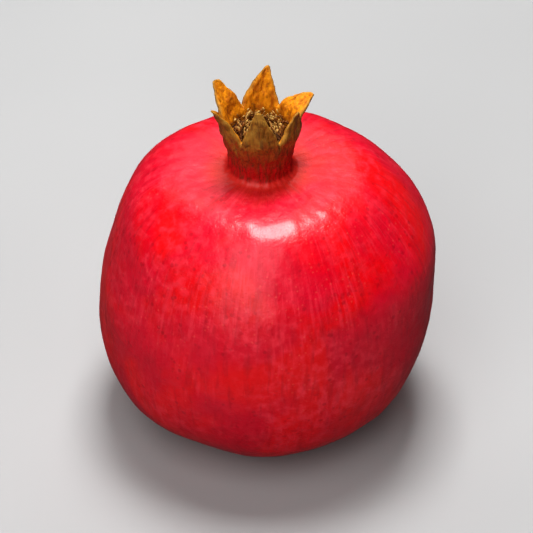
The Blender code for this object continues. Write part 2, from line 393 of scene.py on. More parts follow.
@dataclass(frozen=True)
class RindFinish:
    """Waxy crimson rind that turns into the brown, leathery, drying tissue of the crown."""

    crimson: Colour = (0.67, 0.0001, 0.024)
    scarlet: Colour = (0.80, 0.0003, 0.005)
    streak: Layer = Layer(0.46, 0.70, 0.0, 0.42, BLUSH)
    mottle: Layer = Layer(0.40, 0.74, 0.0, 0.62, BLUSH)
    fleck: Layer = Layer(0.46, 0.74, 0.0, 0.34, DEEP)
    speck: Layer = Layer(0.14, 0.36, 0.42, 0.0, DEEP)
    dot: Layer = Layer(0.08, 0.24, 0.20, 0.0, (0.92, 0.160, 0.110))
    shade: Layer = Layer(0.48, 0.76, 0.0, 0.22, DEEP)
    # painted shade: deep crimson that darkens the rind towards its bottom, fading out from 6 mm to 52 mm up
    lower: Layer = Layer(6 * MM, 52 * MM, 0.58, 0.0, DEEP)
    halo: Layer = Layer(10 * MM, 19 * MM, 0.50, 0.0, (0.76, 0.050, 0.010))
    cork: Layer = Layer(0.35, 0.75, 0.0, 1.0, (0.20, 0.095, 0.035))
    crease: Colour = (0.50, 0.005, 0.006)
    neck: Layer = Layer(-1.05, -0.55, 0.0, 1.0, (0.34, 0.014, 0.003))
    olive: Layer = Layer(-0.90, 0.50, 0.0, 1.0, OLIVE)
    tan: Layer = Layer(0.40, 0.62, 0.0, 1.0, DRY)
    tan_cover: float = 0.46
    vein: Layer = Layer(0.52, 0.66, 0.0, 0.55, (0.085, 0.030, 0.006))
    ochre: Colour = (0.80, 0.290, 0.002)
    amber: Layer = Layer(0.38, 0.66, 0.0, 1.0, (0.52, 0.150, 0.002))
    cup: Layer = Layer(-0.75, 0.05, 1.0, 0.0, (0.10, 0.035, 0.008))
    rim: Layer = Layer(0.45, 0.95, 0.0, 0.45, DRY)
    stain: Layer = Layer(0.55, 0.72, 0.0, 0.45, (0.045, 0.020, 0.006))
    roughness: tuple[float, float] = (0.34, 0.46)  # where it is smoothest and dullest
    crown_dullness: float = 0.32  # added to the roughness
    ior: float = 1.45
    specular: float = 0.36
    wax: float = 0.30  # weight of the coat on the rind; the crown has none
    wax_roughness: float = 0.21
    pore_relief: float = 0.25
    soft_relief: float = 2.6
    fibre_relief: float = 4.0

    def material(self) -> bpy.types.Material:
        """Builds the finish from the surface's attributes and from noise in object space.

        Returns:
            The material.
        """
        graph = Graph("rind")
        crown, sepal, inner, edge, base = map(graph.attribute, Fruit.attributes)
        ragged = graph.blurred(crown, graph.noise(420.0, 3.0), 0.5)
        skin = self.skin_colour(graph, base)
        shell = self.crown_colour(graph, sepal, inner, edge)
        waxy = graph.step(graph.noise(95.0, 3.0), 0.35, 0.65, *self.roughness)
        graph.shader(
            Base_Color=graph.mix(graph.step(ragged, 0.25, 0.75), skin, shell),
            Roughness=graph.plus(waxy, graph.times(crown, self.crown_dullness)),
            IOR=self.ior,
            Specular_IOR_Level=self.specular,
            Coat_Weight=graph.step(crown, 0.1, 0.8, self.wax, 0.0),
            Coat_Roughness=self.wax_roughness,
        )
        self.relief(graph, crown)
        return graph.material

    def streaks(self, graph: Graph, around: float, along: float) -> Socket:
        """Reads noise drawn out along the meridians: it is read at (x/r, y/r) times a number and z.

        Args:
            graph: The finish's nodes.
            around: How fine the streaks are round the fruit.
            along: How fine they are along their length, per metre.

        Returns:
            A number of about 0.2 to 0.8.
        """
        flat = graph.vector(Work.MULTIPLY, graph.place, (1.0, 1.0, 0.0))
        circle = graph.vector(Work.MULTIPLY, graph.vector(Work.NORMALIZE, flat), (around,) * 3)
        rise = graph.vector(Work.MULTIPLY, graph.place, (0.0, 0.0, along))
        return graph.noise(1.0, 3.0, graph.vector(Work.ADD, circle, rise), 0.3)

    def skin_colour(self, graph: Graph, base: Feed) -> Socket:
        """Colours the rind: patches, meridional streaks, blush, dark specks, painted shade that darkens it
        towards the bottom, and a corky base.

        Args:
            graph: The finish's nodes.
            base: 1 in the stem's pit, 0 away from it.

        Returns:
            The colour.
        """
        patches = graph.step(graph.noise(34.0, 3.0, twist=0.6), 0.40, 0.62)
        colour = graph.mix(patches, self.crimson, self.scarlet)
        where = graph.step(graph.noise(60.0), 0.40, 0.60)
        colour = graph.layer(colour, self.streaks(graph, 40.0, 130.0), self.streak, where)
        sunny = graph.step(graph.noise(26.0, twist=0.4), 0.42, 0.60, 0.25, 1.0)
        colour = graph.layer(colour, graph.noise(360.0, 5.0, twist=0.2), self.mottle, sunny)
        colour = graph.layer(colour, self.streaks(graph, 24.0, 110.0), self.fleck)
        chosen = graph.step(graph.noise(150.0), 0.48, 0.60)
        colour = graph.layer(colour, graph.cells(430.0), self.speck, chosen)
        colour = graph.layer(colour, graph.cells(520.0), self.dot, where)
        colour = graph.layer(colour, self.streaks(graph, 5.0, 10.0), self.shade)
        # painted shade: the rind darkened towards its bottom, with a ragged upper edge
        colour = graph.layer(colour, graph.blurred(graph.height(), patches, 8 * MM), self.lower)
        beside = graph.vector(Work.ADD, graph.place, (-CROWN_SHIFT, 0.0, 0.0))
        beside = graph.vector(Work.MULTIPLY, beside, (1.0, 1.0, 0.0))
        reach = graph.vector(Work.LENGTH, beside)
        reach = graph.blurred(reach, graph.noise(120.0, 3.0), 12 * MM)
        upper = graph.step(graph.height(), 50 * MM, 70 * MM)
        colour = graph.layer(colour, reach, self.halo, upper)
        return graph.layer(colour, graph.blurred(base, graph.noise(260.0, 4.0), 0.9), self.cork)

    def crown_colour(self, graph: Graph, sepal: Feed, inner: Feed, edge: Feed) -> Socket:
        """Colours the crown: red-brown neck, olive outside, ochre inside and dry beige edges.

        Args:
            graph: The finish's nodes.
            sepal: Height in the crown: -1 at the neck, 0 at the notches, 1 at a tip.
            inner: 1 on the inner faces.
            edge: 1 at the sepals' edges, less away from them.

        Returns:
            The colour.
        """
        fibre = graph.fibres(900.0, 190.0, twist=0.2)
        blotch = graph.noise(330.0, 3.0)
        height = graph.blurred(graph.blurred(sepal, blotch, 0.7), fibre, 1.3)
        outer = graph.layer(graph.layer(self.crease, height, self.neck), height, self.olive)
        tan = graph.layer(OLIVE, blotch, self.tan)
        outer = graph.mix(graph.step(height, -0.60, 0.70, 0.0, self.tan_cover), outer, tan)
        outer = graph.layer(outer, graph.fibres(1300.0, 120.0, twist=0.4), self.vein)
        hollow = graph.layer(graph.layer(self.ochre, fibre, self.amber), sepal, self.cup)
        colour = graph.mix(inner, outer, hollow)
        colour = graph.layer(colour, graph.blurred(edge, blotch, 0.9), self.rim)
        return graph.layer(colour, graph.noise(700.0, 3.0), self.stain)

    def relief(self, graph: Graph, crown: Feed) -> None:
        """Raises pores and grain on the rind, and stronger fibres on the crown."""
        pores = graph.times(graph.step(graph.cells(1100.0), 0.05, 0.45), self.pore_relief)
        soft = graph.times(graph.noise(240.0, 3.0), self.soft_relief)
        fine = graph.plus(pores, graph.plus(graph.noise(650.0, 4.0), soft))
        fibre = graph.times(graph.fibres(1500.0, 320.0, 4.0), crown)
        graph.bump(graph.plus(fine, graph.times(fibre, self.fibre_relief)), 0.16 * MM, 0.7)


@dataclass(frozen=True)
class Sepal:
    """One pointed lobe of the crown; angles in degrees, lengths in metres."""

    bearing: float
    length: float
    lean: float  # outwards at the foot
    curl: float  # further lean gained by the tip
    bend: float  # sideways
    tip: float  # width of the tip
    taper: float = 1.25

    def share_width(self, share: Array, side: Array, foot: float) -> Array:
        """Gives the half-width at a share of the length.

        The width falls from the foot's to the tip's with the share to the power of the taper. Small
        waves, different on each side, roughen it, and a quarter circle rounds the tip off.

        Args:
            share: 0 at the notches, 1 at the tip.
            side: Positive left of the middle, negative right of it.
            foot: Half-width at the foot.

        Returns:
            Half-widths in metres.
        """
        share = np.clip(share, 0.0, 1.0)
        width = foot - (foot - self.tip / 2) * share**self.taper
        phase = math.radians(7.3 * self.bearing) + np.where(side > 0, 0.0, 2.1)
        waves = np.sin(13.0 * share + phase) + 0.6 * np.sin(29.0 * share + 2.0 * phase)
        width *= 1.0 + 0.028 * waves * ease(share, 0.03, 0.25)
        round_from = 1.0 - max(self.tip / 2, 0.6 * MM) / self.length
        closing = np.clip((share - round_from) / (1.0 - round_from), 0.0, 1.0)
        return width * np.sqrt(1.0 - closing**2)

    def edge_share(self, lateral: Array, foot: float) -> Array:
        """Finds how far up the sepal reaches at a distance from its middle, by reading the width backwards.

        Args:
            lateral: Distance from the sepal's middle, positive to the left.
            foot: Half-width at the foot.

        Returns:
            Shares of the length.
        """
        share = np.linspace(0.0, 1.0, 1500)
        found = np.zeros_like(lateral)
        for side in (1.0, -1.0):
            width = np.minimum.accumulate(self.share_width(share, np.full_like(share, side), foot))
            reached = np.interp(np.abs(lateral), width[::-1], share[::-1])
            found = np.where(lateral * side >= 0, reached, found)
        return found


class Maker:
    """What the makers of pieces share: the node that a piece stands for, its slot and its dressing."""

    node: ClassVar[str]
    slot: ClassVar[Slot]

    def dress(self, piece: bpy.types.Object) -> None:
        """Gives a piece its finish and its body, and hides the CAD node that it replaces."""
        piece.data.materials.append(self.finish.material())
        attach(piece, BODY)
        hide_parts(self.node)


@dataclass
class Fruit(Maker):
    """Body, crown tube and sepals as one closed skin of 288 columns round the fruit.

    Every column starts at the pole in the stem's pit, runs up the body and the outside of the crown
    to the edge of its sepal, turns over it, and runs down the inside to the pole on the cup's floor.
    """

    node: ClassVar[str] = "fruit"
    slot: ClassVar[Slot] = Slot.RIND
    attributes: ClassVar[tuple[str, ...]] = ("crown", "sepal", "inner", "edge", "base")
    radius: float = 47.5 * MM
    widest_height: float = 40.5 * MM
    shoulder_rise: float = 47.8 * MM
    shoulder_dip: float = 4.0 * MM
    dip_radius: float = 33.0 * MM
    lower_fullness: float = 2.25
    upper_fullness: float = 2.42
    shoulder_ridge: float = 0.011
    base_ridge: float = 0.016
    fuller_shoulder: float = 0.042
    fuller_base: float = 0.03
    foot_radius: float = 14.0 * MM
    pit_floor_radius: float = 3.1 * MM
    pit_slope_width: float = 2.4 * MM
    pit_depth: float = 3.2 * MM
    neck_radius: float = 8.8 * MM
    neck_fillet: float = 2.6 * MM
    tube_height: float = 14.4 * MM
    rim_radius: float = 11.3 * MM
    rim_wall: float = 1.9 * MM
    tip_wall: float = 0.6 * MM
    tube_flare: float = 1.6
    cup_depth: float = 11.0 * MM
    cup_fillet: float = 2.0 * MM
    flattening: float = 0.55
    edge_roll: tuple[float, float] = (0.28 * MM, 0.22 * MM)  # its mean, and its swing up the sepal
    keel_height: float = 0.16 * MM
    keel_width: float = 0.7 * MM
    pleat_height: float = 0.045 * MM
    pleat_pitch: float = 0.19 * MM  # for each radian of the sine wave
    lower_rows: int = 64
    upper_rows: int = 77
    columns: int = 48  # in each sepal's sector
    outer_rows: int = 72  # up the crown's wall
    inner_rows: int = 60  # down inside it
    crowding: float = 1.4  # of rows towards the sepals' edges
    sepals: tuple[Sepal, ...] = (
        Sepal(90.0, 11.2 * MM, 10.0, 8.0, -22.0, 0.9 * MM),
        Sepal(150.0, 10.6 * MM, 16.0, 22.0, -4.0, 2.6 * MM),
        Sepal(210.0, 12.8 * MM, 18.0, 16.0, 8.0, 0.9 * MM),
        Sepal(270.0, 11.6 * MM, 0.0, -8.0, -7.0, 1.0 * MM),
        Sepal(330.0, 8.2 * MM, 4.0, 2.0, 10.0, 1.8 * MM),
        Sepal(390.0, 8.4 * MM, 46.0, 34.0, 6.0, 0.9 * MM),
    )
    dents: tuple[Lumps, ...] = (Lumps(3, 34 * MM, 0.26 * MM), Lumps(4, 11 * MM, 0.07 * MM))
    ripples: Lumps = Lumps(5, 4.2 * MM, 0.022 * MM)
    drift: Lumps = Lumps(6, 22 * MM)
    creases: tuple[Lumps, ...] = (Lumps(7, 4.6 * MM, 0.13 * MM), Lumps(8, 1.7 * MM, 0.045 * MM))
    pleats: Ridges = Ridges(31.0, 0.035 * MM, 1.6)
    ribs: tuple[Ridges, ...] = (Ridges(17.0, 0.11 * MM, 2.4), Ridges(41.0, 0.05 * MM, -3.0))
    finish: RindFinish = field(default_factory=RindFinish)

    def __post_init__(self) -> None:
        """Works out the heights and the columns that follow from the sizes."""
        self.half_sector = math.pi / len(self.sepals)
        self.seam = self.neck_radius + self.neck_fillet
        self.crown_foot = float(self.shoulder_height(self.seam))
        self.tube_foot = self.crown_foot + self.neck_fillet
        self.rim_height = self.crown_foot + self.tube_height
        self.cup_floor = self.rim_height - self.cup_depth
        self.rim_middle = self.rim_radius - self.rim_wall / 2
        self.across = np.tile(np.arange(self.columns) * 2 / self.columns - 1, len(self.sepals))
        sectors = np.repeat([sepal.bearing for sepal in self.sepals], self.columns)
        self.bearings = np.radians(sectors) + self.half_sector * self.across

    def shoulder_height(self, radius: Array | float) -> Array:
        """Gives the shoulder's height: a superellipse, less a dip that eases in towards the crown."""
        share = 1.0 - (np.asarray(radius, float) / self.radius) ** self.upper_fullness
        dip = self.shoulder_dip * (1.0 - ease(radius, self.seam, self.dip_radius))
        return self.widest_height + self.shoulder_rise * share ** (1.0 / self.upper_fullness) - dip

    def tube_radius(self, height: Array) -> Array:
        """Gives the tube's outer radius: it grows by the share of its height to the power of the flare."""
        share = (np.asarray(height, float) - self.tube_foot) / (self.rim_height - self.tube_foot)
        grown = np.clip(share, 0.0, 1.0) ** self.tube_flare
        return self.neck_radius + (self.rim_radius - self.neck_radius) * grown

    def body_profile(self) -> Array:
        """Lists (radius, height) from the pit's floor over the foot and the widest ring to the neck.

        The pit's side is half a cosine wave, the lower and upper body are superellipses, and the neck
        starts with a quarter circle.

        Returns:
            Points of shape (rows, 2).
        """
        floor = np.array([[0.3, 1.0], [0.65, 1.0], [1.0, 1.0]]) * (self.pit_floor_radius, self.pit_depth)
        share = np.linspace(0, 1, 9)[1:]
        slope = self.pit_depth * (1 + np.cos(math.pi * share)) / 2
        pit = np.column_stack([self.pit_floor_radius + self.pit_slope_width * share, slope])
        flat = np.linspace(pit[-1, 0], self.foot_radius, 7)[1:-1]
        flat = np.column_stack([flat, np.zeros_like(flat)])
        turn = math.pi / 2 * (1 - np.linspace(0, 1, self.lower_rows))
        power = 2 / self.lower_fullness
        out = self.foot_radius + (self.radius - self.foot_radius) * np.cos(turn) ** power
        lower = np.column_stack([out, self.widest_height * (1 - np.sin(turn) ** power)])
        last = math.acos((self.seam / self.radius) ** (self.upper_fullness / 2))
        turn = last * np.linspace(0, 1, self.upper_rows + 1)[1:]
        radius = self.radius * np.cos(turn) ** (2 / self.upper_fullness)
        upper = np.column_stack([radius, self.shoulder_height(radius)])
        turn = np.radians(np.arange(11.25, 91.0, 11.25))
        rise = self.crown_foot + self.neck_fillet * (1 - np.cos(turn))
        neck = np.column_stack([self.seam - self.neck_fillet * np.sin(turn), rise])
        return np.concatenate([floor, pit, flat, lower, upper, neck])

    def body_factor(self, bearing: Array, height: Array) -> Array:
        """Gives how far the body stands out against a turned shape.

        Six soft ridges, a cosine of six times the bearing, and a swing to one side, a cosine of the
        bearing, both fading at the widest ring and at the neck.

        Args:
            bearing: Angle round the axis, in radians.
            height: Height above the resting plane.

        Returns:
            Factors on the radius, near 1.
        """
        top, low = self.crown_foot + self.neck_fillet, self.crown_foot - self.neck_fillet
        up = ease(height, self.widest_height, low)
        down = ease(self.widest_height - height, 0.0, self.widest_height)
        fade = 1.0 - ease(height, low, top)
        waves = np.cos(len(self.sepals) * (bearing - math.pi / 2))
        ridges = waves * (self.shoulder_ridge * up + self.base_ridge * down)
        swing = self.fuller_shoulder * np.sin(math.pi * up) - self.fuller_base * np.sin(math.pi * down)
        return 1.0 + fade * (ridges + swing * np.cos(bearing))

    def body_rows(self) -> Array:
        """Turns the profile round the axis and gives it the body's ridges and swing."""
        profile = self.body_profile()
        radius, height = profile[:, :1], profile[:, 1:]
        shaped = radius > self.pit_floor_radius + self.pit_slope_width + 0.01 * MM
        factor = np.where(shaped, self.body_factor(self.bearings[None, :], height), 1.0)
        return lathed(radius * factor, self.bearings, height)

    def middle_surface(self, sepal: Sepal, angle: Array, up: Array) -> Array:
        """Gives the surface halfway through the crown's wall in one sepal's sector.

        In the tube it is a circle round the axis at each height. Above the notches each point keeps
        its distance from the sepal's middle line. That line leans, curls and bends, and the surface is
        hollowed across it like a gutter, with rolled edges, a keel and fine pleats.

        Args:
            sepal: The sector's sepal.
            angle: Angle round the axis from the sepal's bearing, in radians.
            up: Height above the notches in the tube, where it is negative, and length up the sepal.

        Returns:
            Points, before the sector is turned to its bearing.
        """
        along = np.linspace(0.0, sepal.length, 160)
        share = along / sepal.length
        flare = self.tube_flare * (self.rim_radius - self.neck_radius)
        start = math.atan(flare / (self.rim_height - self.tube_foot))
        own = np.radians(sepal.lean * ease(share, -0.15, 0.25) + sepal.curl * share)
        lean = start + (own - start) * ease(along, 0.0, 2.0 * MM)
        step = along[1] - along[0]

        def added_up(slope: Array) -> Array:
            """Adds a slope up along the middle line by the trapezium rule."""
            return np.concatenate([[0.0], np.cumsum((slope[1:] + slope[:-1]) / 2) * step])

        above = np.clip(up, 0.0, sepal.length)
        part = above / sepal.length
        tilt = np.interp(above, along, lean) * ease(above, 0.0, 3.0 * MM)
        tube = self.tube_radius(self.rim_height + np.minimum(up, 0.0)) - self.rim_wall / 2
        lateral = tube * np.sin(angle)
        foot = self.rim_middle * math.sin(self.half_sector)
        width = np.maximum(sepal.share_width(part, lateral, foot), 0.05 * MM)
        spread = np.clip(lateral / np.where(up > 0, width, foot), -1.0, 1.0)
        gutter = 1.0 - np.sqrt(1.0 - (spread * math.sin(self.half_sector)) ** 2)
        hollow = self.rim_middle * gutter * (1.0 - self.flattening * part) * width / foot
        hollow = np.where(up > 0, hollow, tube * (1.0 - np.cos(angle)))
        grown = ease(part, 0.02, 0.5)
        rolled, swing = self.edge_roll
        roll = np.abs(spread) ** 3 * (rolled + swing * np.sin(9.0 * part + sepal.bearing))
        keel = self.keel_height * np.exp(-((lateral / self.keel_width) ** 2))
        wander = 3.0 * np.sin(6.0 * part + sepal.bearing)
        pleats = self.pleat_height * np.sin(lateral / self.pleat_pitch + wander)
        hollow = hollow + (roll - keel + pleats) * grown
        radius = tube + np.interp(above, along, added_up(np.sin(lean)))
        height = self.rim_height + np.minimum(up, 0.0) + np.interp(above, along, added_up(np.cos(lean)))
        side = np.interp(above, along, added_up(np.sin(np.radians(sepal.bend * share))))
        return np.stack(
            [radius - hollow * np.cos(tilt), side + lateral, height + hollow * np.sin(tilt)], axis=-1
        )

    def crown_rows(self) -> tuple[Array, Array, Array, Array]:
        """Makes the crown's wall: the middle surface, moved out or in by half the wall's thickness.

        Near an edge the half-thickness t is rounded off as t times the root of 1 - (1 - d/t)^2, with d
        the distance to the edge, so that the outer and inner faces meet on it. Rows lie closer
        together towards the edge.

        Returns:
            Points of shape (rows, columns, 3), and per point the share up the sepal (-1 at the neck,
            0 at the notches, 1 at the tip), 1 on inner faces and 0 on outer ones, and the distance to
            the edge.
        """
        rise = 1.0 - (1.0 - np.linspace(0.0, 1.0, self.outer_rows)[1:]) ** self.crowding
        fall = 1.0 - np.linspace(0.0, 1.0, self.inner_rows)[1:] ** self.crowding
        tube_low = self.tube_foot - self.rim_height
        wall_low = self.cup_floor + self.cup_fillet - self.rim_height
        foot = self.rim_middle * math.sin(self.half_sector)
        parts = []
        for sepal in self.sepals:
            angle = self.half_sector * self.across[: self.columns][None, :]
            lateral = self.rim_middle * np.sin(angle)
            reach = sepal.edge_share(lateral, foot) * sepal.length
            outer = tube_low + (reach - tube_low) * rise[:, None]
            up = np.concatenate([outer, wall_low + (reach - wall_low) * fall[:, None]])
            angle = np.broadcast_to(angle, up.shape)
            place = self.middle_surface(sepal, angle, up)
            small = 0.02 * MM
            around = self.middle_surface(sepal, angle + small / self.rim_middle, up) - place
            onward = place - self.middle_surface(sepal, angle, up - small)
            outward = unit(np.cross(around, onward))
            share = np.clip(up / sepal.length, 0.0, 1.0)
            width = sepal.share_width(share, lateral, foot)
            slope = (sepal.share_width(share + 0.002, lateral, foot) - width) / (0.002 * sepal.length)
            beside = (width - np.abs(lateral)) / np.sqrt(1.0 + slope**2)
            beside = np.minimum(beside, (1.0 - share) * sepal.length)
            below = np.hypot(foot - np.abs(lateral), np.minimum(up, 0.0))
            gap = np.maximum(np.where(up > 0, beside, below), 0.0)
            gap[len(rise) - 1] = 0.0
            half = (self.rim_wall + (self.tip_wall - self.rim_wall) * ease(share, 0.0, 1.0)) / 2
            offset = half * np.sqrt(1.0 - (1.0 - np.minimum(gap / half, 1.0)) ** 2)
            inside = np.concatenate([np.zeros(len(rise)), np.ones(len(fall))])[:, None] + 0.0 * up
            place = place + outward * (offset * (1.0 - 2.0 * inside))[..., None]
            cosine, sine = math.cos(math.radians(sepal.bearing)), math.sin(math.radians(sepal.bearing))
            place = place @ np.array([[cosine, sine, 0.0], [-sine, cosine, 0.0], [0.0, 0.0, 1.0]])
            parts.append((place, np.where(up > 0, share, -up / tube_low), inside, gap))
        return tuple(np.concatenate(list(values), axis=1) for values in zip(*parts))

    def floor_rows(self) -> Array:
        """Turns the cup's floor: a quarter circle from the wall and then a flat disc."""
        wall_foot = self.cup_floor + self.cup_fillet
        radius = float(self.tube_radius(wall_foot)) - self.rim_wall
        turn = np.radians(np.arange(18.0, 91.0, 18.0))
        out = radius - self.cup_fillet * (1 - np.cos(turn))
        flat = np.linspace(out[-1], 0.0, 9)[1:-1]
        height = np.concatenate(
            [wall_foot - self.cup_fillet * np.sin(turn), np.full_like(flat, self.cup_floor)]
        )
        return lathed(np.concatenate([out, flat])[:, None], self.bearings, height[:, None])

    def shifted(self, points: Array) -> Array:
        """Carries the crown, and less and less of the shoulder round it, off the body's axis."""
        spread = np.hypot(points[..., 0], points[..., 1])
        spread = np.where(points[..., 2] < self.crown_foot, spread, 0.0)
        share = 1.0 - ease(spread, self.seam, self.dip_radius)
        moved = points.copy()
        moved[..., 0] += np.where(points[..., 2] > self.widest_height, CROWN_SHIFT * share, 0.0)
        return moved

    def weathered(self, points: Array, crown: Array, sense: Array) -> Array:
        """Moves the skin along its own normals by dents, ripples, pleats, ribs and creases.

        Dents and ripples are lumps that cover the body and fade where it rests. Pleats run up the
        shoulder to the neck and ribs up the crown, both cosines of many times the bearing, and
        creases are finer lumps on the crown.

        Args:
            points: The smooth skin, shape (rows, columns, 3).
            crown: 1 on the crown, 0 on the body.
            sense: 1 on outer faces and -1 on the crown's inner ones, less near the sepals' edges, so
                that both faces of the wall move the same way.

        Returns:
            The moved skin.
        """
        around = np.roll(points, -1, axis=1) - np.roll(points, 1, axis=1)
        outward = unit(np.cross(around, np.gradient(points, axis=0)))
        height = points[..., 2]
        free = ease(height, 0.2 * MM, 9.0 * MM)
        drift = self.drift.at(points)
        bearing = self.bearings[None, :]
        body = sum(lumps.at(points) for lumps in (*self.dents, self.ripples)) * free * (1.0 - crown)
        near_neck = ease(height, self.crown_foot - 9 * MM, self.crown_foot) * (1.0 - crown)
        ribs = sum(ridges.at(bearing, drift) for ridges in self.ribs)
        creases = sum(lumps.at(points) for lumps in self.creases)
        moved = body + self.pleats.at(bearing, drift) * near_neck + (ribs + creases) * crown * sense
        return points + outward * moved[..., None]

    def build(self) -> bpy.types.Object:
        """Puts the rows together, weathers them and makes the piece with its attributes.

        Returns:
            The fruit.
        """
        body = self.body_rows()
        crown, height, inside, gap = self.crown_rows()
        floor = self.floor_rows()
        points = self.shifted(np.concatenate([body, crown, floor]))
        on_body = ease(body[..., 2], self.crown_foot - 0.4 * MM, self.tube_foot)
        radius = np.hypot(body[..., 0], body[..., 1])
        pit = (1.0 - ease(radius, 3.5 * MM, 13.0 * MM)) * (body[..., 2] < 6 * MM)

        def rows(on_the_body: Array | float, on_the_crown: Array | float, on_the_floor: float) -> Array:
            """Puts the three parts' values under each other, one value per point."""
            values = (on_the_body, on_the_crown, on_the_floor)
            shapes = (body.shape[:2], crown.shape[:2], floor.shape[:2])
            return np.concatenate([np.broadcast_to(value, shape) for value, shape in zip(values, shapes)])

        in_crown = rows(on_body, 1.0, 1.0)
        facing = (1.0 - 2.0 * inside) * ease(gap, 0.0, 1.1 * MM)
        points = self.weathered(points, in_crown, rows(1.0, facing, -1.0))
        values = (
            (in_crown, 0.0, 1.0),
            (rows(-1.0, height, -1.0), -1.0, -1.0),
            (rows(0.0, inside, 1.0), 0.0, 1.0),
            (rows(0.0, np.exp(-gap / (0.7 * MM)), 0.0), 0.0, 0.0),
            (rows(pit, 0.0, 0.0), 1.0, 0.0),
        )
        start = np.array([[0.0, 0.0, self.pit_depth]])
        end = np.array([[CROWN_SHIFT, 0.0, self.cup_floor]])
        piece = closed_skin("fruit_skin", points[None], start, end)
        for name, (rings, at_start, at_end) in zip(self.attributes, values):
            mark(piece, name, rings, at_start, at_end)
        return piece


@dataclass(frozen=True)
class StamenFinish:
    """Dried stamens: brown filaments with paler anthers."""

    thread: Layer = Layer(0.0, 1.0, 0.0, 1.0, FILAMENT)
    anther: Layer = Layer(0.1, 0.8, 0.0, 1.0, (0.66, 0.42, 0.12))
    stain: Layer = Layer(0.5, 0.7, 0.0, 0.5, CHARRED)

    def material(self) -> bpy.types.Material:
        """Builds the finish.

        Returns:
            The material.
        """
        graph = Graph("stamens")
        tone = graph.attribute("tone")
        grain = graph.noise(1400.0, 3.0)
        stalk = graph.layer(CHARRED, tone, self.thread)
        head = graph.layer(FILAMENT, tone, self.anther)
        colour = graph.mix(graph.step(graph.attribute("anther"), 0.2, 0.8), stalk, head)
        colour = graph.layer(colour, grain, self.stain)
        graph.shader(Base_Color=colour, Roughness=graph.step(grain, 0.3, 0.7, 0.6, 0.85))
        graph.bump(grain, 0.08 * MM, 0.6)
        return graph.material


@dataclass
class Stamens(Maker):
    """The dried stamens, rooted in the crown's inner wall and crowding in over the cup."""

    node: ClassVar[str] = "stamens"
    slot: ClassVar[Slot] = Slot.STAMENS
    fruit: Fruit
    count: int = 260
    sides: int = 5
    thickness: float = 0.13 * MM
    anther_radius: float = 0.30 * MM
    bare_wall: tuple[float, float] = (3.2 * MM, 1.6 * MM)  # under the lowest and over the highest root
    rooting: float = 0.25 * MM  # how deep they start in the wall
    reach: tuple[float, float] = (0.22, 0.72)  # inwards, in shares of the wall's radius
    rise: tuple[float, float] = (3.2 * MM, 8.0 * MM)
    upper_loss: float = 0.42  # share of the rise that the highest ones lose
    sway: float = 1.5 * MM
    seed: int = 21
    finish: StamenFinish = field(default_factory=StamenFinish)

    def build(self) -> bpy.types.Object:
        """Draws each stamen as a curve that leaves the wall inwards, bends upwards and sways.

        Its place is root + inward reach sin(1.35 t) + up rise t^1.3 + sideways sway sin(3 t + phase),
        with t from 0 to 1. Its radius is a thread's, then swells to the anther.

        Returns:
            All the stamens as one piece.
        """
        draw = np.random.default_rng(self.seed)
        fruit = self.fruit
        share = np.array([0.0, 0.16, 0.33, 0.5, 0.66, 0.78, 0.83, 0.89, 0.96, 1.0])
        bearing = np.arange(self.count) * GOLDEN_TURN + draw.uniform(-0.3, 0.3, self.count)
        low, high = fruit.cup_floor + self.bare_wall[0], fruit.rim_height - self.bare_wall[1]
        root_height = draw.uniform(low, high, self.count)
        wall = fruit.tube_radius(root_height) - fruit.rim_wall + self.rooting
        reach = draw.uniform(*self.reach, self.count) * wall
        loss = self.upper_loss * ease(root_height, low, high)
        rise = draw.uniform(*self.rise, self.count) * (1.0 - loss)
        sway = draw.uniform(-self.sway, self.sway, self.count)
        phase = draw.uniform(0.0, math.tau, self.count)
        inward = -lathed(1.0, bearing, 0.0)
        sideways = lathed(1.0, bearing + math.pi / 2, 0.0)
        root = -inward * wall[:, None]
        root[:, 0] += CROWN_SHIFT
        root[:, 2] = root_height
        paths = root[:, None, :] + inward[:, None, :] * (reach[:, None] * np.sin(1.35 * share))[..., None]
        drift = sway[:, None] * (np.sin(3.0 * share + phase[:, None]) - np.sin(phase)[:, None])
        paths += sideways[:, None, :] * drift[..., None]
        paths[..., 2] += rise[:, None] * share**1.3
        thread, head = self.thickness, self.anther_radius
        radii = np.array([thread] * 5 + [0.7 * thread, 0.75 * head, head, 0.8 * head, 0.35 * head])
        radii = radii * draw.uniform(0.7, 1.3, (self.count, 1))
        rings = carried_rings(paths, radii, sideways, self.sides)
        piece = closed_skin("stamen_tuft", rings, paths[:, 0], paths[:, -1] + 0.06 * MM * inward)
        shape = rings.shape[:3]
        mark(piece, "anther", np.broadcast_to(ease(share, 0.76, 0.84)[None, :, None], shape), 0.0, 1.0)
        tone = np.broadcast_to(draw.uniform(0.0, 1.0, (self.count, 1, 1)), shape)
        mark(piece, "tone", tone, 0.3, 0.7)
        return piece


@dataclass(frozen=True)
class StyleFinish:
    """The dried style: dark brown, with a paler, grainy head."""

    stalk: Colour = (0.16, 0.07, 0.022)
    head: Layer = Layer(0.2, 0.8, 0.0, 1.0, (0.40, 0.24, 0.08))
    stain: Layer = Layer(0.48, 0.66, 0.0, 0.6, (0.045, 0.02, 0.008))

    def material(self) -> bpy.types.Material:
        """Builds the finish.

        Returns:
            The material.
        """
        graph = Graph("style")
        fibre = graph.fibres(2200.0, 420.0)
        colour = graph.layer(self.stalk, graph.attribute("head"), self.head)
        colour = graph.layer(colour, fibre, self.stain)
        graph.shader(Base_Color=colour, Roughness=graph.step(fibre, 0.3, 0.7, 0.6, 0.85))
        graph.bump(fibre, 0.12 * MM, 0.7)
        return graph.material


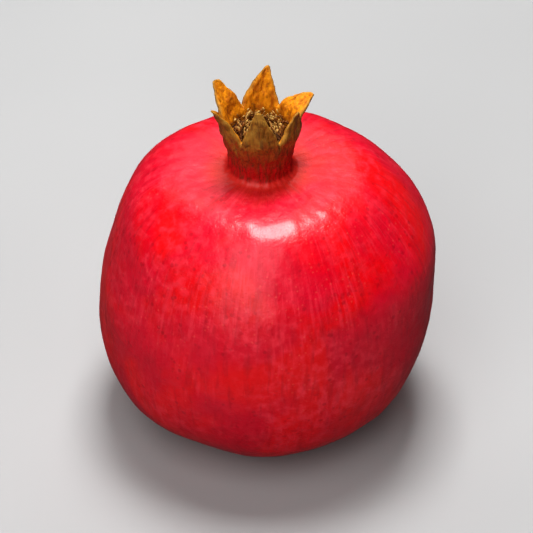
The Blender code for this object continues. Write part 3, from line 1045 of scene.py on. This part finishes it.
@dataclass
class Style(Maker):
    """The dried style, a bent, ribbed stalk with a lumpy head, on the cup's floor."""

    node: ClassVar[str] = "style"
    slot: ClassVar[Slot] = Slot.STYLE
    sides: int = 28
    rows: int = 60
    stalk_share: float = 0.58  # of the head's radius
    ribs: int = 5
    rib_height: float = 0.08  # of the radius, like the head's unevenness
    head_unevenness: float = 0.10
    swell_zone: tuple[float, float] = (0.62, 0.84)  # shares of the height, like round_from
    round_from: float = 0.86
    finish: StyleFinish = field(default_factory=StyleFinish)

    def build(self) -> bpy.types.Object:
        """Carries a ribbed round profile along a path that bends with the square of its height.

        The radius is the stalk's, then eases out to the head's and rounds off at the top. Ribs are a
        cosine of five times the angle, and the head is uneven.

        Returns:
            The style.
        """
        low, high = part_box("style")
        head_radius = (high.y - low.y) / 2
        foot_x = low.x + self.stalk_share * head_radius
        bend = high.x - head_radius - foot_x
        sunk = 0.5 * MM
        share = np.linspace(0.0, 1.0, self.rows)
        height = low.z - sunk + (high.z - low.z + sunk) * share
        path = np.column_stack([foot_x + bend * share**2, 0.0 * share, height])
        swell = ease(share, *self.swell_zone)
        past = np.clip((share - self.round_from) / (1.0 - self.round_from), 0.0, 1.0)
        closing = np.sqrt(np.clip(1.0 - past**2, 0.02, 1.0))
        flare = 1.0 + 0.7 * (1.0 - ease(share, 0.0, 0.14))
        radius = head_radius * (self.stalk_share * flare + (1.0 - self.stalk_share) * swell) * closing
        turn = np.arange(self.sides) * math.tau / self.sides
        up, swell = share[:, None], swell[:, None]
        ribs = self.rib_height * np.cos(self.ribs * turn + 2.0 * up) * (1.0 - swell)
        uneven = self.head_unevenness * np.sin(3.0 * turn + 9.0 * up) * swell
        radii = radius[:, None] * (1.0 + ribs + uneven)
        rings = carried_rings(path[None], radii[None], np.array([[0.0, 1.0, 0.0]]), self.sides)
        start, end = path[:1] - (0.0, 0.0, 0.05 * MM), path[-1:] + (0.0, 0.0, 0.03 * MM)
        piece = closed_skin("style_stalk", rings, start, end)
        mark(piece, "head", np.broadcast_to(swell, radii.shape), 0.0, 1.0)
        return piece


@dataclass(frozen=True)
class StemFinish:
    """The clipped stem: grey-brown bark and a paler cut end with rings and pith."""

    bark: Colour = (0.13, 0.075, 0.035)
    crack: Layer = Layer(0.45, 0.62, 0.0, 1.0, CRACKED)
    wood: Colour = (0.42, 0.29, 0.14)
    ring: Layer = Layer(-0.4, 0.9, 0.0, 0.55, PITH)
    ring_pitch: float = 46.0  # radians of the rings' sine wave from the middle to the bark
    pith: Layer = Layer(0.14, 0.24, 1.0, 0.0, PITH)
    stain: Layer = Layer(0.5, 0.7, 0.0, 0.4, CRACKED)

    def material(self) -> bpy.types.Material:
        """Builds the finish.

        Returns:
            The material.
        """
        graph = Graph("stem")
        out = graph.attribute("out")
        grain = graph.noise(900.0, 4.0)
        cracks = graph.fibres(1800.0, 260.0, 4.0)
        bark = graph.layer(self.bark, cracks, self.crack)
        place = graph.times(graph.plus(out, graph.times(grain, 0.08)), self.ring_pitch)
        wood = graph.layer(self.wood, graph.maths(Work.SINE, place), self.ring)
        wood = graph.layer(graph.layer(wood, out, self.pith), grain, self.stain)
        graph.shader(
            Base_Color=graph.mix(graph.step(graph.attribute("cut"), 0.3, 0.7), bark, wood),
            Roughness=graph.step(grain, 0.3, 0.7, 0.7, 0.92),
        )
        graph.bump(graph.plus(cracks, graph.times(grain, 0.5)), 0.2 * MM, 0.8)
        return graph.material


@dataclass
class Stem(Maker):
    """The clipped stem in its pit: a bark-covered stub with a worn cut end below."""

    node: ClassVar[str] = "stem"
    slot: ClassVar[Slot] = Slot.STEM
    sides: int = 96
    cut_share: float = 0.88  # the cut end's radius against the grown end's
    bevel: float = 0.35 * MM
    room: float = 0.05  # share of the radius left free for the bark's relief
    rough: Lumps = Lumps(31, 0.9 * MM)
    finish: StemFinish = field(default_factory=StemFinish)

    def build(self) -> bpy.types.Object:
        """Turns a profile: the cut face, a quarter circle at its edge, and the side up into the pit.

        The side is uneven by two cosines of the angle and by lumps, and the cut face is a little
        dished and rough.

        Returns:
            The stem.
        """
        low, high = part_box("stem")
        radius = (high.x - low.x) / 2
        cut = radius * self.cut_share
        face = np.linspace(0.1, 1.0, 14) * (cut - self.bevel)
        turn = np.radians(np.arange(15.0, 91.0, 15.0))
        side = np.linspace(0.0, 1.0, 18)[1:]
        edge_radius = cut - self.bevel + self.bevel * np.sin(turn)
        edge_height = low.z + self.bevel * (1 - np.cos(turn))
        top = high.z + 0.5 * MM
        profile_radius = np.concatenate([face, edge_radius, cut + (radius - cut) * side])
        side_height = edge_height[-1] + (top - edge_height[-1]) * side
        profile_height = np.concatenate([np.full_like(face, low.z), edge_height, side_height])
        bearing = np.arange(self.sides) * math.tau / self.sides
        points = lathed(profile_radius[:, None], bearing, profile_height[:, None])
        out = profile_radius / radius
        rough = self.rough.at(points)
        bark = 0.03 * np.cos(5 * bearing + 0.6) + 0.02 * np.cos(11 * bearing) + 0.014 * rough
        factor = 1.0 - self.room + bark * ease(out, 0.6, 0.85)[:, None]
        points[..., :2] *= factor[..., None]
        on_face = np.concatenate([np.ones(len(face)), 1.0 - ease(turn, 0.3, 1.2), np.zeros(len(side))])
        dish = (0.10 + 0.035 * rough) * MM * on_face[:, None]
        points[..., 2] += np.abs(dish)
        centre = np.array([[0.0, 0.0, low.z + 0.1 * MM]])
        piece = closed_skin("stem_stub", points[None], centre, np.array([[0.0, 0.0, top]]))
        mark(piece, "cut", np.broadcast_to(on_face[:, None], points.shape[:2]), 1.0, 0.0)
        mark(piece, "out", np.broadcast_to(out[:, None], points.shape[:2]), 0.0, 0.0)
        return piece


@dataclass(frozen=True)
class Softbox:
    """A rectangular soft light that faces the fruit; angles in degrees, lengths in metres."""

    name: str
    azimuth: float  # 0 is the front, positive to the right
    elevation: float  # past 90 it leans over to the back
    distance: float
    width: float
    height: float
    power: float

    def build(self, target: Vector) -> None:
        """Makes the light.

        Args:
            target: The point that it faces.
        """
        turn, tilt = math.radians(self.azimuth), math.radians(self.elevation)
        away = Vector((math.sin(turn) * math.cos(tilt), -math.cos(turn) * math.cos(tilt), math.sin(tilt)))
        lamp = bpy.data.lights.new(self.name, "AREA")
        lamp.shape = "RECTANGLE"
        lamp.size = self.width
        lamp.size_y = self.height
        lamp.energy = self.power
        made = bpy.data.objects.new(self.name, lamp)
        made.location = target + away * self.distance
        made.rotation_euler = away.to_track_quat("Z", "Y").to_euler()
        made.visible_camera = False
        bpy.context.scene.collection.objects.link(made)


@dataclass
class Studio:
    """A grey floor, soft lights and the camera, which looks down on the fruit's front."""

    target_height: float = 40.5 * MM
    camera_elevation: float = 39.0
    camera_distance: float = 1.347
    aim_rise: float = 5.6 * MM  # in the camera's own up direction
    lens: float = 320.0  # in millimetres, like the sensor
    sensor: float = 36.0
    floor_half: float = 3.0
    floor_colour: Colour = (0.44, 0.44, 0.44)
    floor_dimming: float = 0.96  # in its darker clouds
    ambient: float = 0.05
    softboxes: tuple[Softbox, ...] = (
        Softbox("key", -7.0, 103.0, 0.9, 0.32, 0.34, 7.8),
        Softbox("front", -22.0, 42.0, 1.3, 1.05, 1.9, 13.6),
        Softbox("back", 10.0, 138.0, 1.2, 1.2, 0.6, 2.4),
    )

    def build_floor(self) -> None:
        """Makes the floor, a square grid in a faintly uneven grey that no gloss mirrors."""
        line = np.linspace(-self.floor_half, self.floor_half, 13)
        x, y = np.meshgrid(line, line)
        points = np.stack([x, y, np.zeros_like(x)], axis=-1).reshape(-1, 3)
        number = np.arange(len(points)).reshape(x.shape)
        faces = np.stack([number[:-1, :-1], number[:-1, 1:], number[1:, 1:], number[1:, :-1]], axis=-1)
        mesh = bpy.data.meshes.new("floor")
        mesh.from_pydata(points.tolist(), [], faces.reshape(-1, 4).tolist())
        floor = bpy.data.objects.new("floor", mesh)
        bpy.context.scene.collection.objects.link(floor)
        graph = Graph("floor")
        shade = tuple(self.floor_dimming * part for part in self.floor_colour)
        graph.shader(
            Base_Color=graph.mix(graph.step(graph.noise(6.0), 0.35, 0.65), self.floor_colour, shade),
            Roughness=0.9,
        )
        mesh.materials.append(graph.material)
        floor.visible_glossy = False

    def build_world(self) -> None:
        """Surrounds everything with even, dim white light, and sets a plain view with more contrast."""
        world = bpy.data.worlds.new("studio")
        world.use_nodes = True
        shell = world.node_tree.nodes["Background"]
        shell.inputs["Color"].default_value = (1.0, 1.0, 1.0, 1.0)
        shell.inputs["Strength"].default_value = self.ambient
        bpy.context.scene.world = world
        bpy.context.scene.view_settings.view_transform = "Standard"
        bpy.context.scene.view_settings.look = "Medium High Contrast"

    def build_camera(self) -> None:
        """Makes the camera, which looks down at the fruit from the front."""
        tilt = math.radians(self.camera_elevation)
        away = Vector((0.0, -math.cos(tilt), math.sin(tilt)))
        up = Vector((0.0, math.sin(tilt), math.cos(tilt)))
        target = Vector((0.0, 0.0, self.target_height)) + up * self.aim_rise
        view = bpy.data.cameras.new("camera")
        view.lens = self.lens
        view.sensor_width = self.sensor
        camera = bpy.data.objects.new("camera", view)
        camera.location = target + away * self.camera_distance
        camera.rotation_euler = away.to_track_quat("Z", "Y").to_euler()
        bpy.context.scene.collection.objects.link(camera)
        bpy.context.scene.camera = camera

    def build(self) -> None:
        """Builds the floor, the world, the lights and the camera."""
        self.build_floor()
        self.build_world()
        self.build_camera()
        for softbox in self.softboxes:
            softbox.build(Vector((0.0, 0.0, self.target_height)))


def main() -> None:
    """Builds and dresses the pieces in order, and then the studio round them."""
    logging.basicConfig(level=logging.INFO, format="%(name)s: %(message)s")
    Studio().build()
    fruit = Fruit()
    for maker in (fruit, Stamens(fruit), Style(), Stem()):
        piece = maker.build()
        maker.dress(piece)
        log.info("%s: %d faces", piece.name, len(piece.data.polygons))


if __name__ == "__main__":
    main()
